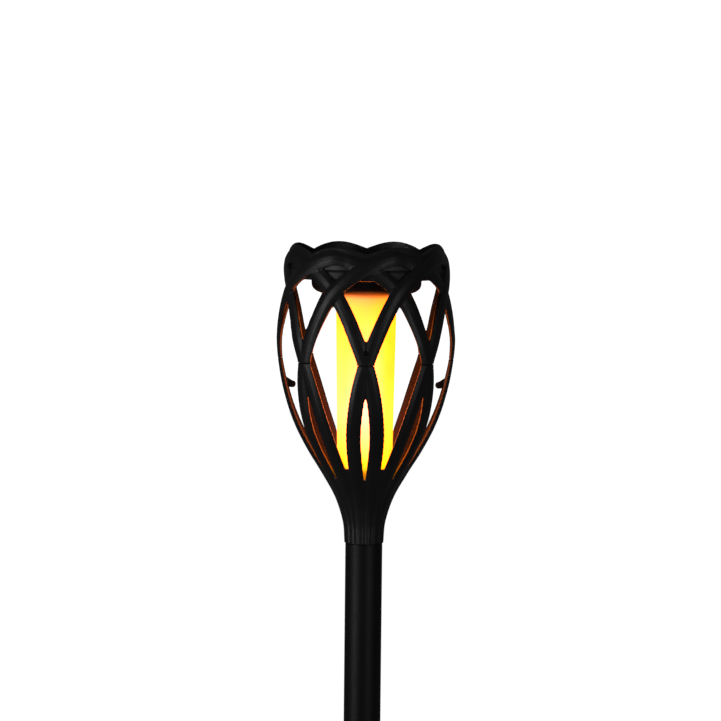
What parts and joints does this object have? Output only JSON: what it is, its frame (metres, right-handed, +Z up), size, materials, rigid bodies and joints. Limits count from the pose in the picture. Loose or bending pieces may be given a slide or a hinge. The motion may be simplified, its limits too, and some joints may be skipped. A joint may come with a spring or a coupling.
{
  "type": "solar garden torch",
  "caption": "Solar garden torch: woven black basket lantern with a glowing flame tube and a solar panel in its lid, on a pole with a ground stake.",
  "frame": {"origin": "on the pole's axis, at the underside of the stake's collar, which is the ground line", "axes": "+Z up along the pole, -Y towards the viewer of the front, +X to the right seen from the front"},
  "size_m": [0.1234, 0.1234, 0.7697],
  "materials": {
    "basket_plastic": "satin black moulded plastic",
    "pole_plastic": "semi-gloss black tube",
    "stake_plastic": "black moulded plastic",
    "housing_plastic": "fine-grained black plastic",
    "steel": "plated steel",
    "solar_cells": "dark blue cells with silver lines",
    "panel_cover": "clear cover",
    "circuit_board": "green solder mask",
    "seal_rubber": "soft black rubber",
    "battery_wrap": "blue shrink wrap",
    "white_plastic": "white plastic",
    "flame_tube": "frosted tube, lit from inside",
    "lead_insulation": "red insulated lead"
  },
  "bodies": {
    "stake": {"ground_stake": "stake_plastic"},
    "pole_lower": {"lower_pole": "pole_plastic", "pole_coupler": "stake_plastic"},
    "pole_upper": {"upper_pole": "pole_plastic"},
    "basket": {"basket_lower": "basket_plastic", "basket_upper": "basket_plastic"},
    "lamp": {"housing_lid": "housing_plastic", "housing_bowl": "housing_plastic", "seal_ring": "seal_rubber", "solar_board": "circuit_board", "solar_cells": "solar_cells", "panel_cover": "panel_cover", "circuit_board": "circuit_board", "switch_body": "housing_plastic", "battery": "battery_wrap", "battery_spring": "steel", "battery_contact": "steel", "led_core": "white_plastic", "led_strip": "white_plastic", "flame_tube": "flame_tube", "tube_retainer": "housing_plastic", "tube_end_cap": "housing_plastic", "housing_screw_1": "steel", "housing_screw_2": "steel", "housing_screw_3": "steel", "housing_screw_4": "steel", "battery_lead": "lead_insulation", "return_lead": "lead_insulation", "led_lead": "lead_insulation", "panel_lead": "lead_insulation"},
    "button": {"power_button": "seal_rubber"}
  },
  "joints": [
    {"name": "lower_pole_lift", "type": "slide", "parent": "stake", "child": "pole_lower", "axis": [0, 0, 1], "range_m": [0, 0.035]},
    {"name": "upper_pole_lift", "type": "slide", "parent": "pole_lower", "child": "pole_upper", "axis": [0, 0, 1], "range_m": [0, 0.035]},
    {"name": "head_lift", "type": "slide", "parent": "pole_upper", "child": "basket", "axis": [0, 0, 1], "range_m": [0, 0.035]},
    {"name": "lamp_lift", "type": "slide", "parent": "basket", "child": "lamp", "axis": [0, 0, 1], "range_m": [0, 0.17]},
    {"name": "button_press", "type": "slide", "parent": "lamp", "child": "button", "axis": [0, 0, 1], "range_m": [0, 0.0012], "stiffness_N_per_m": 300, "springref_m": -0.001}
  ]
}
